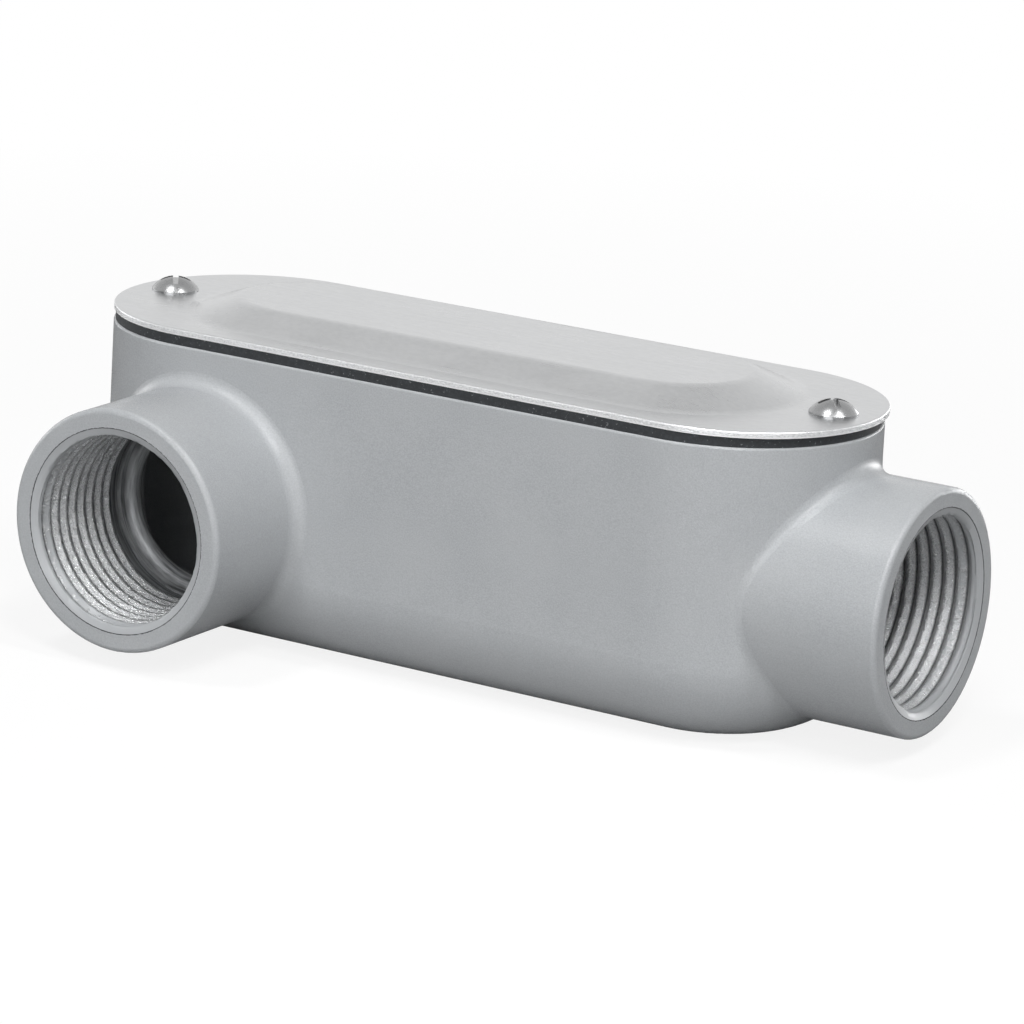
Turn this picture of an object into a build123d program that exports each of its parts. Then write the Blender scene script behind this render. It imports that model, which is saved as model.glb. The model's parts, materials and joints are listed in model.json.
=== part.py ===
# Conduit body with an end hub and a side hub, a gasketed cover and two cover screws.
# Millimetres, +Z up. The origin is the middle of the flat bottom of the housing,
# +X runs to the end hub and -Y to the side hub.

import math
import os

from build123d import *

os.makedirs("parts", exist_ok=True)

# Bore of a hub for one-inch threaded conduit, from its face inwards
thread_diameter = 33.2
thread_length = 20.4
lead_in_step = 0.4
lead_in_angle = 28.0
neck_length = 2.2
neck_step = 0.55
neck_edge = 0.3
bushing_step = 3.4
bushing_length = 3.9
bushing_round = 2.0
bushing_flare = 1.0
bushing_lip = 0.75
bushing_wall = 3.3
bushing_run_out = 2.0

# Hubs
hub_wall = 3.6
side_hub_setback = 29.75
end_hub_length = 13.95
hub_root_round = 2.3
hub_edge_round = 0.9

# Housing shell, measured at the rim that the gasket lies on, with what it stands out
# past the hubs beside, above and below them
rim_length = 140.2
side_margin = 4.3
top_margin = 6.1
bottom_margin = 3.25
wall = 3.2
floor_thickness = 3.2
draft_angle = 0.6
bottom_round = 13.8
rim_edge_round = 0.4
chamber_corner_margin = 1.4

# Cover screws and the bosses that take them. The screws, and the cover with them, lie a
# little off the middle of the rim, towards the end hub
screw_inset = 6.6
cover_offset = 0.35
screw_diameter = 4.1
screw_end_gap = 1.1
screw_point = 0.5
screw_head_diameter = 7.9
screw_head_height = 2.35
screw_head_edge = 0.3
slot_width = 0.95
slot_depth = 0.8
left_slot_angle = 35.0
right_slot_angle = 42.0
thread_play = 0.05
boss_diameter = 10.0
boss_height = 14.0
boss_end_round = 2.0
tapped_floor = 1.8

# Gasket
gasket_thickness = 1.65
gasket_inset = 0.3
gasket_band = 5.2
gasket_screw_margin = 2.4
screw_hole_clearance = 0.5

# Cover, pressed from sheet with a raised crown
cover_thickness = 1.05
cover_side_inset = 0.3
cover_end_overhang = 0.4
cover_edge_round = 0.3
flange_width = 5.4
crown_end_margin = 14.6
crown_height = 3.0
shoulder_width = 6.0
shoulder_length = 8.1
shoulder_round = 4.0

# Sizes and places that follow from those above
thread_radius = thread_diameter / 2
neck_radius = thread_radius - neck_step
throat_radius = thread_radius - bushing_step
hub_radius = thread_radius + hub_wall
neck_end = thread_length + neck_length
bore_depth = neck_end + bushing_length
rim_width = 2 * (hub_radius + side_margin)
housing_height = bottom_margin + 2 * hub_radius + top_margin
chamber_length = rim_length - 2 * wall
chamber_width = rim_width - 2 * wall
hub_axis_height = bottom_margin + hub_radius
side_hub_x = side_hub_setback - rim_length / 2
side_face_y = bushing_lip - bore_depth - chamber_width / 2
end_face_x = rim_length / 2 + end_hub_length
screw_reach = rim_length / 2 - screw_inset
left_screw_x = cover_offset - screw_reach
right_screw_x = cover_offset + screw_reach
tapped_depth = top_margin + hub_wall - tapped_floor
screw_hole_diameter = screw_diameter + 2 * screw_hole_clearance
screw_length = cover_thickness + gasket_thickness + tapped_depth - screw_end_gap
cover_z = housing_height + gasket_thickness
flange_z = cover_z + cover_thickness

# Planes on the hub faces, looking into the hubs
side_face = Plane(origin=(side_hub_x, side_face_y, hub_axis_height), x_dir=(1, 0, 0), z_dir=(0, 1, 0))
end_face = Plane(origin=(end_face_x, 0, hub_axis_height), x_dir=(0, 1, 0), z_dir=(-1, 0, 0))


def hub_bore(face):
    """Cutter for one hub: lead-in cone, threaded bore, neck, rounded bushing and flare."""
    # Local X of the profile is the depth from the hub's face, and local Y the radius
    profile_plane = Plane(origin=face.origin, x_dir=face.z_dir, z_dir=face.x_dir)
    lead_in_radius = thread_radius + lead_in_step
    lead_in_depth = lead_in_step / math.tan(math.radians(lead_in_angle))
    flare_radius = throat_radius + bushing_flare
    bushing_crest = (bore_depth - bushing_flare, throat_radius)
    bushing_start = (bushing_crest[0] - bushing_round, throat_radius + bushing_round)
    with BuildPart() as bore:
        with BuildSketch(profile_plane):
            with BuildLine():
                Polyline(
                    bushing_crest,
                    (bore_depth, flare_radius),
                    (bore_depth + bushing_run_out, flare_radius),
                    (bore_depth + bushing_run_out, 0),
                    (0, 0),
                    (0, lead_in_radius),
                    (lead_in_depth, thread_radius),
                    (thread_length, thread_radius),
                    (thread_length, neck_radius),
                    (neck_end, neck_radius),
                    (neck_end, neck_radius - neck_edge),
                    bushing_start,
                )
                TangentArc(bushing_start, bushing_crest, tangent=(0, -1))
            make_face()
        revolve(axis=Axis(face.origin, face.z_dir))
    return bore.part


def screw_boss(x, side, height):
    """Boss under one cover screw, hung from the rim and run out into the end wall."""
    run_out = rim_length / 2 - wall / 2 - side * x
    with BuildPart() as boss:
        with BuildSketch(Plane(origin=(x, 0, housing_height))):
            Circle(boss_diameter / 2)
            with Locations((side * run_out / 2, 0)):
                Rectangle(run_out, boss_diameter)
        extrude(amount=-height)
        fillet(boss.faces().sort_by(Axis.Z)[0].edges(), boss_end_round)
    return boss.part


# Chamber: below the shelf it ends at the end hub's bushing, above the shelf it runs
# on over the hub to the end wall
chamber_end_x = end_face_x - bore_depth + bushing_lip
lower_length = chamber_end_x + (chamber_length - chamber_width) / 2
chamber_bottom_round = bottom_round - wall
chamber_corner = chamber_bottom_round + chamber_corner_margin
shelf_z = hub_axis_height + hub_radius
shelf_boss_height = housing_height - shelf_z + boss_end_round

with BuildPart() as chamber:
    with BuildSketch(Plane.XY.offset(floor_thickness)) as lower_outline:
        with Locations((chamber_end_x, 0)):
            Rectangle(lower_length, chamber_width, align=(Align.MAX, Align.CENTER))
        fillet(lower_outline.vertices().group_by(Axis.X)[-1], chamber_corner)
        with Locations((chamber_end_x - lower_length, 0)):
            Circle(chamber_width / 2)
    extrude(amount=housing_height - floor_thickness)
    fillet(chamber.faces().sort_by(Axis.Z)[0].edges(), chamber_bottom_round)
    with BuildSketch(Plane.XY.offset(shelf_z)):
        SlotOverall(chamber_length, chamber_width)
    extrude(amount=housing_height - shelf_z)

# Housing, one casting
with BuildPart() as housing:
    with BuildSketch():
        draft_growth = 2 * housing_height * math.tan(math.radians(draft_angle))
        SlotOverall(rim_length + draft_growth, rim_width + draft_growth)
    extrude(amount=housing_height, taper=draft_angle)
    fillet(housing.faces().sort_by(Axis.Z)[0].edges(), bottom_round)

    # Hubs, blended into the shell at their roots
    with BuildSketch(side_face):
        Circle(hub_radius)
    extrude(amount=-side_face_y)
    side_root = housing.edges(Select.NEW)
    with BuildSketch(end_face):
        Circle(hub_radius)
    extrude(amount=end_face_x)
    end_root = housing.edges(Select.NEW)
    fillet(side_root, hub_root_round)
    fillet(end_root, hub_root_round)
    fillet(housing.faces().sort_by(Axis.Y)[0].edges(), hub_edge_round)
    fillet(housing.faces().sort_by(Axis.X)[-1].edges(), hub_edge_round)
    fillet(housing.faces().sort_by(Axis.Z)[-1].edges(), rim_edge_round)

    # Hollow inside, with the bushing collars and the screw bosses left standing
    add(chamber.part, mode=Mode.SUBTRACT)
    with BuildSketch(side_face, end_face):
        Circle(throat_radius + bushing_wall)
    extrude(amount=bore_depth)
    add(screw_boss(left_screw_x, -1, boss_height))
    add(screw_boss(right_screw_x, 1, shelf_boss_height))

    # Bores of the hubs and the tapped holes for the cover screws
    add(hub_bore(side_face), mode=Mode.SUBTRACT)
    add(hub_bore(end_face), mode=Mode.SUBTRACT)
    with BuildSketch(Plane.XY.offset(housing_height)):
        with Locations((left_screw_x, 0), (right_screw_x, 0)):
            Circle(screw_diameter / 2 + thread_play)
    extrude(amount=-tapped_depth, mode=Mode.SUBTRACT)

# Gasket, a flat ring with a wide end round each screw hole
with BuildPart() as gasket:
    with BuildSketch(Plane.XY.offset(housing_height)):
        SlotOverall(rim_length - 2 * gasket_inset, rim_width - 2 * gasket_inset)
        window_length = 2 * (screw_reach - screw_hole_diameter / 2 - gasket_screw_margin)
        window_width = rim_width - 2 * gasket_inset - 2 * gasket_band
        with Locations((cover_offset, 0)):
            SlotOverall(window_length, window_width, mode=Mode.SUBTRACT)
        with Locations((left_screw_x, 0), (right_screw_x, 0)):
            Circle(screw_hole_diameter / 2, mode=Mode.SUBTRACT)
    extrude(amount=gasket_thickness)


def crown(base_z, inset, top_round):
    """Raised middle of the cover, drawn in by an inset all round, standing on a height."""
    foot_length = cover_length - 2 * crown_end_margin - 2 * inset
    foot_width = cover_width - 2 * flange_width - 2 * inset
    with BuildPart() as raised:
        with BuildSketch(Plane(origin=(cover_offset, 0, base_z))):
            SlotOverall(foot_length, foot_width)
        with BuildSketch(Plane(origin=(cover_offset, 0, base_z + crown_height))):
            SlotOverall(foot_length - 2 * shoulder_length, foot_width - 2 * shoulder_width)
        loft(ruled=True)
        fillet(raised.faces().sort_by(Axis.Z)[-1].edges(), top_round)
    return raised.part


# Cover, centred between its screws
cover_length = rim_length + 2 * cover_end_overhang
cover_width = rim_width - 2 * cover_side_inset
crown_slope = math.atan(crown_height / shoulder_width)
skin_inset = cover_thickness * math.tan(crown_slope / 2)

with BuildPart() as cover:
    with BuildSketch(Plane(origin=(cover_offset, 0, cover_z))):
        SlotOverall(cover_length, cover_width)
    extrude(amount=cover_thickness)
    fillet(cover.faces().sort_by(Axis.Z)[-1].edges(), cover_edge_round)
    add(crown(flange_z, 0, shoulder_round))
    crown_foot = cover.faces().filter_by(Axis.Z).sort_by(Axis.Z)[1].inner_wires()[0].edges()
    fillet(crown_foot, shoulder_round)
    add(crown(cover_z, skin_inset, shoulder_round - cover_thickness), mode=Mode.SUBTRACT)
    crown_mouth = cover.faces().filter_by(Axis.Z).sort_by(Axis.Z)[0].inner_wires()[0].edges()
    fillet(crown_mouth, shoulder_round + cover_thickness)
    with BuildSketch(Plane(origin=(cover_offset, 0, cover_z))):
        with Locations((left_screw_x, 0), (right_screw_x, 0)):
            Circle(screw_hole_diameter / 2)
    extrude(amount=cover_thickness, mode=Mode.SUBTRACT)


def cover_screw(x, slot_angle):
    """Round-head machine screw with a crossed slot, seated on the cover."""
    head_radius = screw_head_diameter / 2
    shank_radius = screw_diameter / 2
    with BuildPart() as screw:
        with BuildSketch(Plane(origin=(x, 0, flange_z), x_dir=(1, 0, 0), z_dir=(0, -1, 0))):
            with BuildLine():
                dome = TangentArc(
                    (0, screw_head_height), (head_radius, screw_head_edge), tangent=(1, 0)
                )
                Polyline(
                    dome @ 1,
                    (head_radius, 0),
                    (shank_radius, 0),
                    (shank_radius, screw_point - screw_length),
                    (shank_radius - screw_point, -screw_length),
                    (0, -screw_length),
                    dome @ 0,
                )
            make_face()
        revolve(axis=Axis((x, 0, 0), (0, 0, 1)))
        with BuildSketch(Plane(origin=(x, 0, flange_z + screw_head_height))):
            Rectangle(slot_width, screw_head_diameter, rotation=slot_angle)
            Rectangle(screw_head_diameter, slot_width, rotation=slot_angle)
        extrude(amount=-slot_depth, mode=Mode.SUBTRACT)
    return screw.part


with BuildPart() as left_screw:
    add(cover_screw(left_screw_x, left_slot_angle))

with BuildPart() as right_screw:
    add(cover_screw(right_screw_x, right_slot_angle))

housing.part.label = "housing"
gasket.part.label = "gasket"
cover.part.label = "cover"
left_screw.part.label = "left_screw"
right_screw.part.label = "right_screw"

export_step(housing.part, "parts/housing.step")
export_step(gasket.part, "parts/gasket.step")
export_step(cover.part, "parts/cover.step")
export_step(left_screw.part, "parts/left_screw.step")
export_step(right_screw.part, "parts/right_screw.step")
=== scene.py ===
# Looks of the conduit body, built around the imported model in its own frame, in metres.

import json
import math

import bmesh
import bpy
from mathutils import Matrix, Vector, noise


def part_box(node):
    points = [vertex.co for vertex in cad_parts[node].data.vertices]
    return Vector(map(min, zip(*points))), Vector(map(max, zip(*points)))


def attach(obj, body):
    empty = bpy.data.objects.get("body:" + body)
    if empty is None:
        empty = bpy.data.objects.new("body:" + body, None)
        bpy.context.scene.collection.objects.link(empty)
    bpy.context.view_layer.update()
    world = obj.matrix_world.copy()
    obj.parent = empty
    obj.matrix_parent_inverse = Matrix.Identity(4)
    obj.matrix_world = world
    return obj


def grey(value, tint=0.0):
    """A grey, with a little blue in it where it has a tint."""
    return (value * (1 - tint), value, value * (1 + tint), 1.0)


mm = 0.001

# Camera: its place, how it is turned, its lens, and the nearest that it sees
camera_place = Vector((410.28, -670.57, 232.73)) * mm
camera_azimuth = math.radians(31.094)
camera_elevation = math.radians(14.801)
camera_roll = math.radians(2.936)
camera_lens = 173.2
camera_sensor = 36.0
camera_near = 50 * mm

# Taper pipe thread inside the hubs, cut shallow. At the mouth a wide lead-in cone, its angle
# measured from the bore's axis, leads to a plain ring as far as the first groove. The last crest
# falls off steeply at the neck
thread_pitch = 2.265 * mm
thread_height = 0.8 * mm
thread_taper = 1 / 32
thread_start = 0.03 * mm
first_groove = 0.9 * mm
thread_end = 20.3 * mm
last_crest = 19.3 * mm
thread_outer_radius = 17.3 * mm
lead_in_radius = 17.12 * mm
lead_in_angle = math.radians(68.0)
end_flank_angle = math.radians(60.0)
side_thread_phase = 0.28
end_thread_phase = 0.89

# Torn surface of the turns, and how far the paint reaches in from the mouth and fades out
torn_depth = 0.1 * mm
torn_size = 0.7 * mm
paint_length = 1.4 * mm
paint_fade = 3.6 * mm

# Mesh of the turns: points around the bore, turns begun before the mouth so that the rows cover
# all of it, the distance at which points are one, and the angle from which an edge is sharp
turn_steps = 180
turns_before = 2
weld_distance = 0.0005 * mm
sharp_angle = math.radians(55.0)

# Share of the thread's depth along one pitch: rounded root, straight flanks, narrow flat crest
thread_profile = [
    (0.00, 0.00),
    (0.04, 0.03),
    (0.08, 0.12),
    (0.22, 0.50),
    (0.36, 0.88),
    (0.40, 0.97),
    (0.45, 1.00),
    (0.55, 1.00),
    (0.60, 0.97),
    (0.64, 0.88),
    (0.78, 0.50),
    (0.92, 0.12),
    (0.96, 0.03),
]

# Enamel of the casting: two faint shades in patches, pale specks, and low waves under a fine grain
enamel_dark = grey(0.375, 0.038)
enamel_light = grey(0.40, 0.033)
enamel_speck = grey(0.50, 0.03)
enamel_patch_size = 14 * mm
enamel_speck_size = 0.25 * mm
enamel_speck_share = 0.5
enamel_roughness = (0.20, 0.27)
grain_size = 0.3 * mm
grain_depth = 0.05 * mm
wave_size = 3.5 * mm
wave_depth = 0.05 * mm

# Jagged dark line at the inner edge of each hub's mouth: worn paint, with painted shade in the crease
mouth_radius = 17.1 * mm
mouth_depth = 0.5 * mm
mouth_ragging = 0.3 * mm
mouth_ragging_size = 0.5 * mm
mouth_wear_and_shade = grey(0.07, 0.03)

# Unpainted casting behind the threads, in dark and light rings, darkened as painted shade inside the bores
bare_and_shaded_depth = 20.0 * mm
bare_and_shaded_radius = 16.5 * mm
chamber_half_width = 22.0 * mm
bare_dark_and_shaded = grey(0.11, 0.04)
bare_light_and_shaded = grey(0.50, 0.03)
bare_ring_size = 0.6 * mm
bare_ring_stretch = (0.05, 1, 0.05)
bare_metallic = 0.4
bare_extra_roughness = 0.25

# Sheet of the cover: cloudy shades with a pale mottle, rolling lines along it, and shallow dents
sheet_dark = grey(0.57, 0.012)
sheet_light = grey(0.65, 0.010)
sheet_mottle = grey(0.74, 0.008)
cloud_size = 9 * mm
cloud_stretch = (0.5, 1, 1)
mottle_size = 0.8 * mm
mottle_stretch = (0.6, 1, 1)
mottle_share = 0.3
line_size = 0.35 * mm
line_stretch = (0.03, 1, 1)
line_depth = 0.004 * mm
dent_size = 2.5 * mm
dent_depth = 0.012 * mm
sheet_roughness = (0.25, 0.38)

# Sheared edge of the cover: torn, and bright at the burr along its lower rim. It is full where
# the surface faces up no more than the first share and gone from the second share on
shear_facing = (0.3, 0.85)
shear_dark = grey(0.78, 0.012)
shear_light = grey(0.95, 0.008)
shear_size = 0.25 * mm
shear_stretch = (0.6, 0.6, 1)
shear_depth = 0.03 * mm
shear_dullness = 0.4
burr_shade = grey(0.95, 0.005)
burr_height = 0.12 * mm
burr_fade = 0.3 * mm

# Rubber of the gasket: dusty in faint patches, with a few pale specks
rubber_dark = grey(0.021, 0.12)
rubber_dusty = grey(0.044, 0.12)
rubber_speck = grey(0.16, 0.05)
dust_size = 0.5 * mm
dust_depth = 0.01 * mm
rubber_speck_size = 0.4 * mm
rubber_roughness = (0.55, 0.75)

# Zinc plate of the screws
zinc_dark = grey(0.34, 0.01)
zinc_light = grey(0.42, 0.01)
rub_size = 0.6 * mm
zinc_grain_size = 0.3 * mm
zinc_grain_depth = 0.002 * mm
zinc_roughness = (0.24, 0.32)

# Cut metal of the thread: torn, in dull and pale grains, the pale partly a painted glint, with painted
# shade down in the roots
cut_dark = grey(0.34, 0.03)
cut_glint_grain = grey(0.95, 0.01)
cut_size = 0.25 * mm
cut_depth = 0.17 * mm
cut_metallic = 0.75
cut_roughness = (0.36, 0.24)
# Painted shade in the roots of the thread: its colour, its strength, and the share of the thread's height
# over which it fades out
painted_root_shade = grey(0.03, 0.03)
painted_root_shade_strength = (0.75, 0.0)
painted_root_shade_span = (0.03, 0.25)

# Paint sprayed into the thread: its ragged end, which reaches further in on the crests
sprayed_shade = grey(0.41, 0.033)
sprayed_roughness = 0.34
ragged_size = 0.8 * mm
ragged_share = 1.2
crest_reach = (-0.3, 0.2)

# Lights by name: where each one shines from, how far away, its width and height, and its power
lights = {
    "right_strip": (Vector((0.57, -0.1, 0.82)), 1.3, 0.15, 0.7, 5.0),
    "left_strip": (Vector((-0.13, -0.37, 0.92)), 1.3, 0.15, 0.3, 4.8),
    "key": (Vector((0.43, -0.49, 0.75)), 1.3, 0.25, 0.25, 5.4),
    "front": (Vector((0.1, -0.9, 0.42)), 1.5, 1.0, 1.0, 9.2),
    "low_front": (Vector((0.1, -0.98, 0.08)), 1.5, 1.0, 0.6, 1.0),
    "low_right": (Vector((0.85, -0.5, 0.08)), 1.5, 1.0, 0.6, 3.0),
    "back": (Vector((0.25, 0.97, 0.02)), 1.5, 1.0, 0.5, 9.0),
    "left": (Vector((-0.97, 0.05, 0.1)), 1.5, 1.0, 0.5, 4.0),
}

# Room: how much it lights by itself, how dark its ceiling and the camera's side are, and how far
# up and how far towards the camera those begin and end
room_strength = 0.07
ceiling_shade = 0.68
ceiling_span = (0.2, 0.9)
camera_side_shade = 0.22
camera_side_span = (0.0, 0.5)

# Floor: its colour where it is seen, where the object mirrors it, and where it lights the object
floor_size = 6.0
floor_gap = 0.05 * mm
floor_shade = 0.97
floor_mirrored = 0.35
floor_bounce = 0.42

# Shadow on the floor: how much of it is left near the object, and where it starts and ends fading
shadow_share = 0.15
shadow_reach = 0.16
shadow_fade = 0.45


def make_camera():
    """Camera at the photograph's place, looking along its own three turns."""
    back = Vector((
        math.sin(camera_azimuth) * math.cos(camera_elevation),
        -math.cos(camera_azimuth) * math.cos(camera_elevation),
        math.sin(camera_elevation),
    ))
    level = Vector((math.cos(camera_azimuth), math.sin(camera_azimuth), 0))
    upright = back.cross(level)
    right = level * math.cos(camera_roll) + upright * math.sin(camera_roll)
    up = upright * math.cos(camera_roll) - level * math.sin(camera_roll)
    data = bpy.data.cameras.new("camera")
    data.lens = camera_lens
    data.sensor_width = camera_sensor
    data.clip_start = camera_near
    camera = bpy.data.objects.new("camera", data)
    camera.matrix_world = Matrix((
        (right.x, up.x, back.x, camera_place.x),
        (right.y, up.y, back.y, camera_place.y),
        (right.z, up.z, back.z, camera_place.z),
        (0, 0, 0, 1),
    ))
    bpy.context.scene.collection.objects.link(camera)
    bpy.context.scene.camera = camera


def make_area_light(name, direction, distance, width, height, power):
    """Soft light that shines at the object from a direction."""
    data = bpy.data.lights.new(name, "AREA")
    data.shape = "RECTANGLE"
    data.size = width
    data.size_y = height
    data.energy = power
    light = bpy.data.objects.new(name, data)
    light.location = direction.normalized() * distance
    light.rotation_euler = direction.to_track_quat("Z", "Y").to_euler()
    bpy.context.scene.collection.objects.link(light)


class Nodes:
    """A node tree, with short ways to add and join nodes."""

    def __init__(self, tree):
        self.tree = tree

    def feed(self, socket, value):
        """Links an output to a socket, or sets the socket's value."""
        if isinstance(value, bpy.types.NodeSocket):
            self.tree.links.new(value, socket)
        else:
            socket.default_value = value

    def node(self, kind, settings=None, **inputs):
        """Adds a node and feeds its inputs, by name or, as in i0, by number."""
        made = self.tree.nodes.new(kind)
        for key, value in (settings or {}).items():
            setattr(made, key, value)
        for key, value in inputs.items():
            numbered = key[0] == "i" and key[1:].isdigit()
            self.feed(made.inputs[int(key[1:]) if numbered else key], value)
        return made

    def place(self, scale=(1, 1, 1)):
        """Position in the row frame, stretched by a scale."""
        coordinates = self.node("ShaderNodeTexCoord")
        mapping = self.node("ShaderNodeMapping", Vector=coordinates.outputs["Object"], Scale=scale)
        return mapping.outputs["Vector"]

    def split(self, vector):
        """The three coordinates of a vector, by name."""
        return self.node("ShaderNodeSeparateXYZ", Vector=vector).outputs

    def noise(self, size, detail=2.0, stretch=(1, 1, 1), roughness=0.5):
        """Noise whose grains are about one size across, in metres."""
        made = self.node(
            "ShaderNodeTexNoise",
            Vector=self.place(stretch),
            Scale=1 / size,
            Detail=detail,
            Roughness=roughness,
        )
        return made.outputs["Fac"]

    def patches(self, size, detail, low=0.35, high=0.65, **form):
        """Noise with firmer edges: none of it below one level, and all of it above another."""
        return self.ramp(self.noise(size, detail, **form), 0.0, 1.0, low, high)

    def jitter(self, size, amount):
        """Noise around zero, for a ragged edge."""
        return self.math("MULTIPLY", self.math("SUBTRACT", self.noise(size, 3), 0.5), amount)

    def math(self, operation, a, b):
        """One step of arithmetic on values or outputs."""
        return self.node("ShaderNodeMath", {"operation": operation}, i0=a, i1=b).outputs[0]

    def ramp(self, value, low, high, from_low=0.0, from_high=1.0):
        """A value from one range carried to another, held at its ends."""
        made = self.node("ShaderNodeMapRange", Value=value)
        made.inputs["From Min"].default_value = from_low
        made.inputs["From Max"].default_value = from_high
        made.inputs["To Min"].default_value = low
        made.inputs["To Max"].default_value = high
        return made.outputs["Result"]

    def blend(self, share, a, b):
        """Colour between two colours or outputs."""
        return self.node("ShaderNodeMix", {"data_type": "RGBA"}, i0=share, i6=a, i7=b).outputs[2]

    def bump(self, height, distance, **under):
        """Bump from a height, with its depth in metres, over another bump given as Normal."""
        return self.node("ShaderNodeBump", Height=height, Distance=distance, **under).outputs["Normal"]


class Finish(Nodes):
    """A new material, fed through its one surface shader."""

    def __init__(self, name):
        self.material = bpy.data.materials.new(name)
        self.material.use_nodes = True
        super().__init__(self.material.node_tree)
        self.surface = self.tree.nodes["Principled BSDF"]

    def coat(self, colour, metallic, roughness, normal):
        """Feeds the surface, and gives the finished material."""
        self.feed(self.surface.inputs["Base Color"], colour)
        self.feed(self.surface.inputs["Metallic"], metallic)
        self.feed(self.surface.inputs["Roughness"], roughness)
        self.feed(self.surface.inputs["Normal"], normal)
        return self.material


def from_axis(s, face, along):
    """Distance from the axis of the bore that opens at a face and runs along one coordinate."""
    across = [float(name != along) for name in "XYZ"]
    centre = [value * kept for value, kept in zip(face, across)]
    spread = s.node("ShaderNodeVectorMath", {"operation": "DISTANCE"}, i0=s.place(across), i1=centre)
    return spread.outputs["Value"]


def inside_bores(s):
    """Where the casting is unpainted and darkened as painted shade: behind the threads, along each bore's
    line into the chamber.
    """
    place = s.split(s.place())
    masks = []
    for face, along, low, high in (
        (side_face, "Y", side_face.y + bare_and_shaded_depth, chamber_half_width),
        (end_face, "X", side_face.x, end_face.x - bare_and_shaded_depth),
    ):
        mask = s.math("LESS_THAN", from_axis(s, face, along), bare_and_shaded_radius)
        mask = s.math("MULTIPLY", mask, s.math("GREATER_THAN", place[along], low))
        masks.append(s.math("MULTIPLY", mask, s.math("LESS_THAN", place[along], high)))
    return s.math("MAXIMUM", *masks)


def mouth_edges(s):
    """Where a dark jagged line of worn paint and painted shade runs along the inner edges of the hubs'
    mouths.
    """
    place = s.split(s.place())
    ragging = s.jitter(mouth_ragging_size, mouth_ragging)
    at_side = s.math("LESS_THAN", place["Y"], side_face.y + mouth_depth)
    at_end = s.math("GREATER_THAN", place["X"], end_face.x - mouth_depth)
    masks = []
    for face, along, at_face in ((side_face, "Y", at_side), (end_face, "X", at_end)):
        near = s.math("LESS_THAN", s.math("ADD", from_axis(s, face, along), ragging), mouth_radius)
        masks.append(s.math("MULTIPLY", near, at_face))
    return s.math("MAXIMUM", *masks)


def painted_casting():
    """Satin grey enamel over a cast surface, with a dark line of wear and painted shade at the mouths of
    the hubs, and unpainted inside them, darkened there as painted shade.
    """
    s = Finish("painted_casting")
    bare_and_shaded = inside_bores(s)
    speckle = s.patches(enamel_speck_size, 3, roughness=0.6)
    colour = s.blend(s.patches(enamel_patch_size, 3), enamel_dark, enamel_light)
    colour = s.blend(s.math("MULTIPLY", speckle, enamel_speck_share), colour, enamel_speck)
    # Painted shade and worn paint: a dark jagged line in the crease at the mouths' inner edges
    colour = s.blend(mouth_edges(s), colour, mouth_wear_and_shade)
    # Unpainted casting in the bores, its dark and light rings darkened as painted shade
    rings = s.patches(bare_ring_size, 3, stretch=bare_ring_stretch, roughness=0.6)
    colour = s.blend(bare_and_shaded, colour, s.blend(rings, bare_dark_and_shaded, bare_light_and_shaded))
    metallic = s.math("MULTIPLY", bare_and_shaded, bare_metallic)
    satin = s.ramp(speckle, *enamel_roughness)
    roughness = s.math("ADD", satin, s.math("MULTIPLY", bare_and_shaded, bare_extra_roughness))
    grain = s.bump(s.noise(grain_size, 4, roughness=0.7), grain_depth)
    waves = s.bump(s.noise(wave_size), wave_depth, Normal=grain)
    return s.coat(colour, metallic, roughness, waves)


def mill_aluminium():
    """Bare sheet: rolling lines, cloudy patches, small dents, torn sheared edges and a bright burr."""
    s = Finish("mill_aluminium")
    lines = s.noise(line_size, stretch=line_stretch)
    clouds = s.noise(cloud_size, 3, stretch=cloud_stretch)
    mottle = s.patches(mottle_size, 4, stretch=mottle_stretch, roughness=0.65)
    sheet = s.blend(clouds, sheet_dark, sheet_light)
    sheet = s.blend(s.math("MULTIPLY", mottle, mottle_share), sheet, sheet_mottle)
    facing = s.split(s.node("ShaderNodeNewGeometry").outputs["Normal"])
    sheared = s.ramp(facing["Z"], 1.0, 0.0, *shear_facing)
    torn = s.patches(shear_size, 3, 0.4, 0.6, stretch=shear_stretch, roughness=0.6)
    height = s.split(s.place())["Z"]
    burr = s.ramp(height, 1.0, 0.0, cover_low.z + burr_height, cover_low.z + burr_fade)
    edge = s.blend(burr, s.blend(torn, shear_dark, shear_light), burr_shade)
    colour = s.blend(sheared, sheet, edge)
    metallic = s.math("SUBTRACT", 1.0, s.math("MULTIPLY", sheared, shear_dullness))
    roughness = s.ramp(s.math("ADD", lines, clouds), *sheet_roughness, 0.6, 1.4)
    rolled = s.bump(lines, line_depth)
    dented = s.bump(s.noise(dent_size), dent_depth, Normal=rolled)
    rough_edge = s.bump(s.math("MULTIPLY", torn, sheared), shear_depth, Normal=dented)
    return s.coat(colour, metallic, roughness, rough_edge)


def black_rubber():
    """Matt neoprene with a dusty grain."""
    s = Finish("black_rubber")
    dust = s.patches(dust_size, 3, 0.45, 0.75, roughness=0.65)
    specks = s.patches(rubber_speck_size, 2, 0.66, 0.74)
    colour = s.blend(specks, s.blend(dust, rubber_dark, rubber_dusty), rubber_speck)
    return s.coat(colour, 0.0, s.ramp(dust, *rubber_roughness), s.bump(dust, dust_depth))


def zinc_plate():
    """Zinc plate, a little rubbed and with a very fine grain."""
    s = Finish("zinc_plate")
    rub = s.noise(rub_size, 4, roughness=0.6)
    grain = s.bump(s.noise(zinc_grain_size), zinc_grain_depth)
    return s.coat(s.blend(rub, zinc_dark, zinc_light), 1.0, s.ramp(rub, *zinc_roughness), grain)


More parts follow.
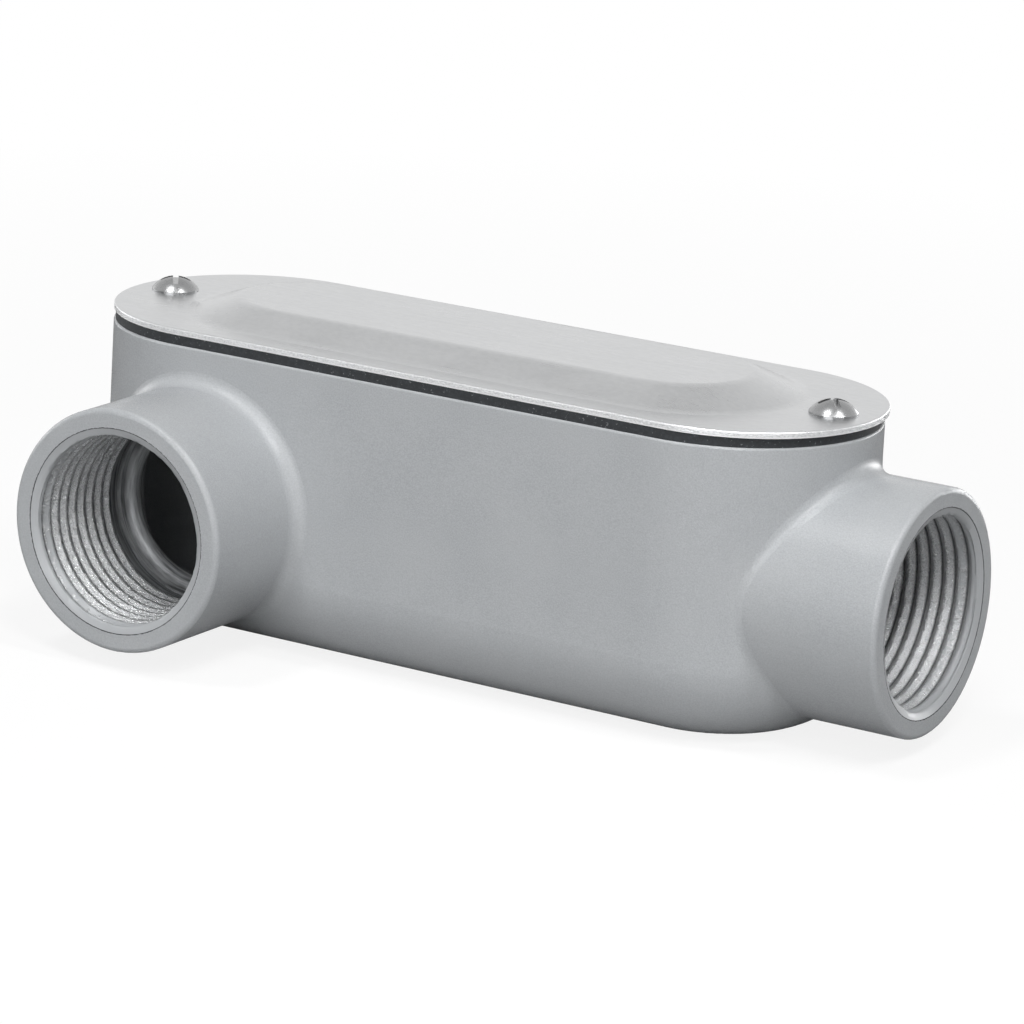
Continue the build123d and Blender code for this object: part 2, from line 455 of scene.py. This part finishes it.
def cut_thread():
    """Bare tapped metal with torn flanks in dull and pale grains, the pale partly a painted glint, with
    painted shade in the roots, and painted at the mouth of the hub.
    """
    s = Finish("cut_thread")
    paint = s.node("ShaderNodeAttribute", {"attribute_name": "paint"}).outputs["Fac"]
    height = s.node("ShaderNodeAttribute", {"attribute_name": "share"}).outputs["Fac"]
    reach = s.math("ADD", s.jitter(ragged_size, ragged_share), s.ramp(height, *crest_reach))
    sprayed = s.ramp(s.math("ADD", paint, reach), 0.0, 1.0, 0.4, 0.6)
    torn = s.noise(cut_size, 3, roughness=0.7)
    # Dull and pale grains of the cut metal; the pale colour is partly a painted glint
    glint_grains = s.ramp(torn, 0.0, 1.0, 0.35, 0.65)
    colour = s.blend(sprayed, s.blend(glint_grains, cut_dark, cut_glint_grain), sprayed_shade)
    # Painted shade down in the roots, fading out low on the flanks
    colour = s.blend(s.ramp(height, *painted_root_shade_strength, *painted_root_shade_span), colour, painted_root_shade)
    metallic = s.ramp(sprayed, cut_metallic, 0.0)
    bright = s.ramp(glint_grains, *cut_roughness)
    roughness = s.math("MAXIMUM", bright, s.math("MULTIPLY", sprayed, sprayed_roughness))
    rough = s.math("MULTIPLY", torn, s.math("SUBTRACT", 1.0, sprayed))
    return s.coat(colour, metallic, roughness, s.bump(rough, cut_depth))


def thread_point(depth, share, root_radius):
    """Radius of the thread's surface at a depth from the hub's face, and the share that shows there."""
    crest_radius = root_radius - thread_taper * (depth - thread_start) - thread_height
    fall = max(0.0, depth - last_crest) * math.tan(end_flank_angle)
    if depth < first_groove:
        share = 1.0
    cut = min(root_radius, crest_radius + max(thread_height * (1 - share), fall))
    cone = lead_in_radius - depth * math.tan(lead_in_angle)
    if cone > cut:
        return cone, 1.0
    return cut, share


def thread_rows(mesh, face, inward, phase):
    """Rows of points around the bore, one for each point of the profile, all along the helix."""
    root_radius = frame["record"]["mounts"][0]["dims"]["r_mm"] * mm
    across = Vector((0, 0, 1))
    aside = inward.cross(across)
    turns = math.ceil(thread_end / thread_pitch) + 1
    lead_in_depth = thread_height / math.tan(lead_in_angle)
    paint = mesh.verts.layers.float.new("paint")
    height = mesh.verts.layers.float.new("share")

    def vertex(depth, share, step):
        angle = 2 * math.pi * step / turn_steps
        spoke = across * math.cos(angle) + aside * math.sin(angle)
        axis_point = face + inward * depth
        radius, share = thread_point(depth, share, root_radius)
        if lead_in_depth < depth < last_crest:
            radius += torn_depth * share * noise.noise((axis_point + spoke * radius) / torn_size)
        vert = mesh.verts.new(axis_point + spoke * radius)
        vert[paint] = min(1.0, max(0.0, (paint_length - depth) / paint_fade + 1))
        vert[height] = share
        return vert

    rows = []
    for turn in range(-turns_before, turns):
        for along, share in thread_profile:
            row = []
            for step in range(turn_steps):
                depth = thread_pitch * (turn + along + phase + step / turn_steps)
                depth = min(max(depth, thread_start), thread_end)
                row.append(vertex(depth, share, step))
            rows.append(row)
    return rows


def join_rows(mesh, rows):
    """Faces between the rows. The end of a row meets the start of the same row one turn further in."""
    steps = len(thread_profile)
    for i in range(len(rows) - 1):
        for step in range(turn_steps):
            if step + 1 < turn_steps:
                corners = (rows[i][step], rows[i][step + 1], rows[i + 1][step + 1], rows[i + 1][step])
            elif i + 1 + steps < len(rows):
                corners = (rows[i][step], rows[i + steps][0], rows[i + 1 + steps][0], rows[i + 1][step])
            else:
                continue
            mesh.faces.new(corners)
    bmesh.ops.remove_doubles(mesh, verts=mesh.verts, dist=weld_distance)
    bmesh.ops.dissolve_degenerate(mesh, edges=mesh.edges, dist=weld_distance)


def close_ring(mesh, face, inward):
    """Walls from both ends of the thread out into the casting, and a plain cylinder between them."""
    open_edges = [edge for edge in mesh.edges if edge.is_boundary]
    grown = bmesh.ops.extrude_edge_only(mesh, edges=open_edges)["geom"]
    for vert in [item for item in grown if isinstance(item, bmesh.types.BMVert)]:
        offset = vert.co - face
        depth = offset.dot(inward)
        spoke = (offset - inward * depth).normalized()
        vert.co = face + inward * depth + spoke * thread_outer_radius
    outer_edges = [edge for edge in mesh.edges if edge.is_boundary]
    bmesh.ops.bridge_loops(mesh, edges=outer_edges)
    bmesh.ops.recalc_face_normals(mesh, faces=mesh.faces)


def make_thread(name, face, inward, phase, material):
    """Closed ring that lines one hub's bore: its inside is the thread, its outside is in the casting."""
    mesh = bmesh.new()
    join_rows(mesh, thread_rows(mesh, face, inward, phase))
    close_ring(mesh, face, inward)
    data = bpy.data.meshes.new(name)
    mesh.to_mesh(data)
    mesh.free()
    data.shade_smooth()
    data.set_sharp_from_angle(angle=sharp_angle)
    data.materials.append(material)
    ring = bpy.data.objects.new(name, data)
    bpy.context.scene.collection.objects.link(ring)
    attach(ring, "root")


def make_floor():
    """White floor: it takes a faint shadow near the object, and shows plain white further out."""
    bpy.ops.mesh.primitive_plane_add(size=floor_size, location=(0, 0, -floor_gap))
    floor = bpy.context.object
    floor.name = "floor"
    s = Finish("floor")
    s.feed(s.surface.inputs["Roughness"], 1.0)
    s.feed(s.surface.inputs["Specular IOR Level"], 0.0)
    ray = s.node("ShaderNodeLightPath").outputs
    seen = s.math("MAXIMUM", ray["Is Camera Ray"], ray["Is Transmission Ray"])
    colour = s.blend(ray["Is Glossy Ray"], grey(floor_bounce), grey(floor_mirrored))
    s.feed(s.surface.inputs["Base Color"], s.blend(seen, colour, grey(floor_shade)))
    distance = s.node("ShaderNodeVectorMath", {"operation": "LENGTH"}, i0=s.place()).outputs["Value"]
    plain = s.ramp(distance, 1 - shadow_share, 1.0, shadow_reach, shadow_fade)
    glow = s.node("ShaderNodeEmission", Color=grey(1.0), Strength=1.0).outputs["Emission"]
    matt = s.surface.outputs["BSDF"]
    mix = s.node("ShaderNodeMixShader", Fac=s.math("MULTIPLY", seen, plain), i1=matt, i2=glow)
    s.feed(s.tree.nodes["Material Output"].inputs["Surface"], mix.outputs["Shader"])
    floor.data.materials.append(s.material)


def make_room():
    """World: plain white to the camera, bright in what the metal mirrors, and a soft fill besides."""
    world = bpy.data.worlds.new("room")
    bpy.context.scene.world = world
    world.use_nodes = True
    room = Nodes(world.node_tree)
    ray = room.node("ShaderNodeLightPath").outputs
    shown = room.math("MAXIMUM", ray["Is Camera Ray"], ray["Is Glossy Ray"])
    shown = room.math("MAXIMUM", shown, ray["Is Transmission Ray"])
    direction = room.node("ShaderNodeTexCoord").outputs["Generated"]

    # White at the horizon and a little darker overhead
    overhead = room.ramp(room.split(direction)["Z"], 0.0, 1.0, *ceiling_span)
    colour = room.blend(overhead, grey(1.0), grey(ceiling_shade))

    # Dark on the camera's side, though not to the camera itself
    camera_side = (math.sin(camera_azimuth), -math.cos(camera_azimuth), 0)
    nearness = room.node("ShaderNodeVectorMath", {"operation": "DOT_PRODUCT"}, i0=direction, i1=camera_side)
    behind = room.ramp(nearness.outputs["Value"], 0.0, 1.0, *camera_side_span)
    colour = room.blend(behind, colour, grey(camera_side_shade))
    colour = room.blend(ray["Is Camera Ray"], colour, grey(1.0))
    background = room.tree.nodes["Background"]
    room.feed(background.inputs["Color"], colour)
    room.feed(background.inputs["Strength"], room.ramp(shown, room_strength, 1.0))


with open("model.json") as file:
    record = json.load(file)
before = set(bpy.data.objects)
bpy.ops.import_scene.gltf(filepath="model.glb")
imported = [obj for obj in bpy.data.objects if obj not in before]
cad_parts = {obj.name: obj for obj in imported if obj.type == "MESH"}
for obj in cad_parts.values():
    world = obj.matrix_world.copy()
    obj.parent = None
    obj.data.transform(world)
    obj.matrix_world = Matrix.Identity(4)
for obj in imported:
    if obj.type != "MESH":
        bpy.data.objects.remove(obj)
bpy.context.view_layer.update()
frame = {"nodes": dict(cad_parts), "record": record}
housing_low, housing_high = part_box("housing")
cover_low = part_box("cover")[0]
hub_height = frame["record"]["mounts"][0]["pos_m"][2]
side_hub_x = frame["record"]["mounts"][1]["pos_m"][0]
end_face = Vector((housing_high.x, 0, hub_height))
side_face = Vector((side_hub_x, housing_low.y, hub_height))

finishes = {
    "housing": painted_casting(),
    "gasket": black_rubber(),
    "cover": mill_aluminium(),
    "left_screw": zinc_plate(),
}
finishes["right_screw"] = finishes["left_screw"]
for node_name, finish in finishes.items():
    slots = frame["nodes"][node_name].data.materials
    slots.clear()
    slots.append(finish)

thread_finish = cut_thread()
make_thread("end_thread", end_face, Vector((-1, 0, 0)), end_thread_phase, thread_finish)
make_thread("side_thread", side_face, Vector((0, 1, 0)), side_thread_phase, thread_finish)

make_camera()
for light_name, light in lights.items():
    make_area_light(light_name, *light)
make_floor()
make_room()
bpy.context.scene.view_settings.view_transform = "Standard"
